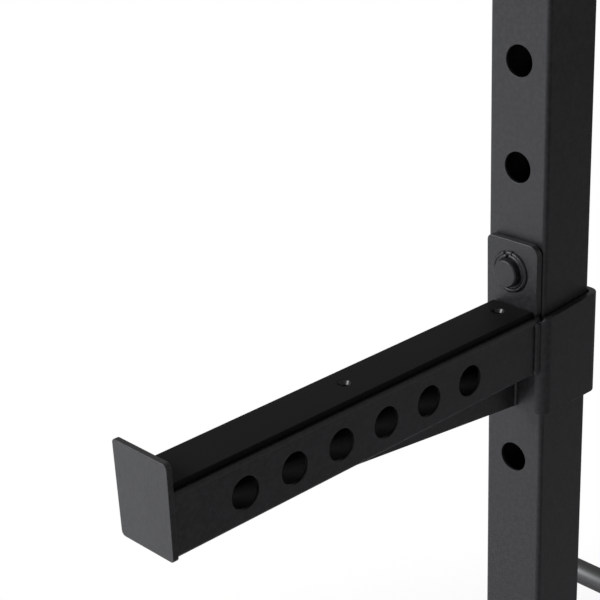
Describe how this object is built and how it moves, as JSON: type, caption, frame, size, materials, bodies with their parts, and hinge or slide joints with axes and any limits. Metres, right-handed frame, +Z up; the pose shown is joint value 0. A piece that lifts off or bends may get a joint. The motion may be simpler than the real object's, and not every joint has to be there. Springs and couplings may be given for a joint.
{
  "type": "half rack",
  "caption": "Free-standing half rack of square steel tube with perforated front uprights, hook-on spotter arms and bar cups, plate storage pegs and a pull-up bar.",
  "frame": {"origin": "on the floor, at the middle of the footprint", "axes": "+X to the lifter's right, +Y from the lifter towards the rear uprights, +Z up"},
  "size_m": [1.6806, 1.2086, 2.2003],
  "materials": {
    "black_powder_coat": "fine matt black powder coat on steel",
    "zinc_plated_steel": "zinc plated",
    "bright_steel": "ground and plated bar",
    "black_plastic": "dense black polyethylene, slightly waxy",
    "black_rubber": "moulded, matt"
  },
  "bodies": {
    "frame": {"front_upright_left": "black_powder_coat", "front_upright_right": "black_powder_coat", "rear_upright_left": "black_powder_coat", "rear_upright_right": "black_powder_coat", "base_runner_left": "black_powder_coat", "base_runner_right": "black_powder_coat", "runner_boot_front_left": "black_rubber", "runner_boot_front_right": "black_rubber", "runner_boot_rear_left": "black_rubber", "runner_boot_rear_right": "black_rubber", "foot_bracket_front_left": "black_powder_coat", "foot_bracket_front_right": "black_powder_coat", "foot_bracket_rear_left": "black_powder_coat", "foot_bracket_rear_right": "black_powder_coat", "upright_bolts_front_left": "zinc_plated_steel", "upright_bolts_front_right": "zinc_plated_steel", "upright_bolts_rear_left": "zinc_plated_steel", "upright_bolts_rear_right": "zinc_plated_steel", "runner_bolts_front_left": "zinc_plated_steel", "runner_bolts_front_right": "zinc_plated_steel", "runner_bolts_rear_left": "zinc_plated_steel", "runner_bolts_rear_right": "zinc_plated_steel", "upright_cap_front_left": "black_plastic", "upright_cap_front_right": "black_plastic", "upright_cap_rear_left": "black_plastic", "upright_cap_rear_right": "black_plastic", "top_side_rail_left": "black_powder_coat", "top_side_rail_right": "black_powder_coat", "rear_top_cross_member": "black_powder_coat", "rear_middle_cross_member": "black_powder_coat", "rear_base_cross_member": "black_powder_coat", "pull_up_bar": "black_powder_coat", "storage_peg_1_left": "bright_steel", "storage_peg_2_left": "bright_steel", "storage_peg_1_right": "bright_steel", "storage_peg_2_right": "bright_steel"},
    "arm_left": {"arm_bracket_left": "black_powder_coat", "arm_pin_left": "black_powder_coat", "arm_tube_left": "black_powder_coat", "arm_gusset_left": "black_powder_coat", "arm_end_plate_left": "black_powder_coat", "arm_liner_left": "black_plastic"},
    "arm_right": {"arm_bracket_right": "black_powder_coat", "arm_pin_right": "black_powder_coat", "arm_tube_right": "black_powder_coat", "arm_gusset_right": "black_powder_coat", "arm_end_plate_right": "black_powder_coat", "arm_liner_right": "black_plastic"},
    "cup_left": {"cup_bracket_left": "black_powder_coat", "cup_pin_left": "black_powder_coat", "cup_cradle_left": "black_powder_coat", "cup_liner_left": "black_plastic"},
    "cup_right": {"cup_bracket_right": "black_powder_coat", "cup_pin_right": "black_powder_coat", "cup_cradle_right": "black_powder_coat", "cup_liner_right": "black_plastic"}
  },
  "joints": [
    {"name": "arm_swing_left", "type": "hinge", "parent": "frame", "child": "arm_left", "pos_m": [-0.54, 0, 1.02], "axis": [0, -1, 0], "range_deg": [0, 90]},
    {"name": "arm_swing_right", "type": "hinge", "parent": "frame", "child": "arm_right", "pos_m": [0.54, 0, 1.02], "axis": [0, 1, 0], "range_deg": [0, 90]},
    {"name": "cup_swing_left", "type": "hinge", "parent": "frame", "child": "cup_left", "pos_m": [-0.54, 0, 1.46], "axis": [0, -1, 0], "range_deg": [0, 90]},
    {"name": "cup_swing_right", "type": "hinge", "parent": "frame", "child": "cup_right", "pos_m": [0.54, 0, 1.46], "axis": [0, 1, 0], "range_deg": [0, 90]}
  ]
}
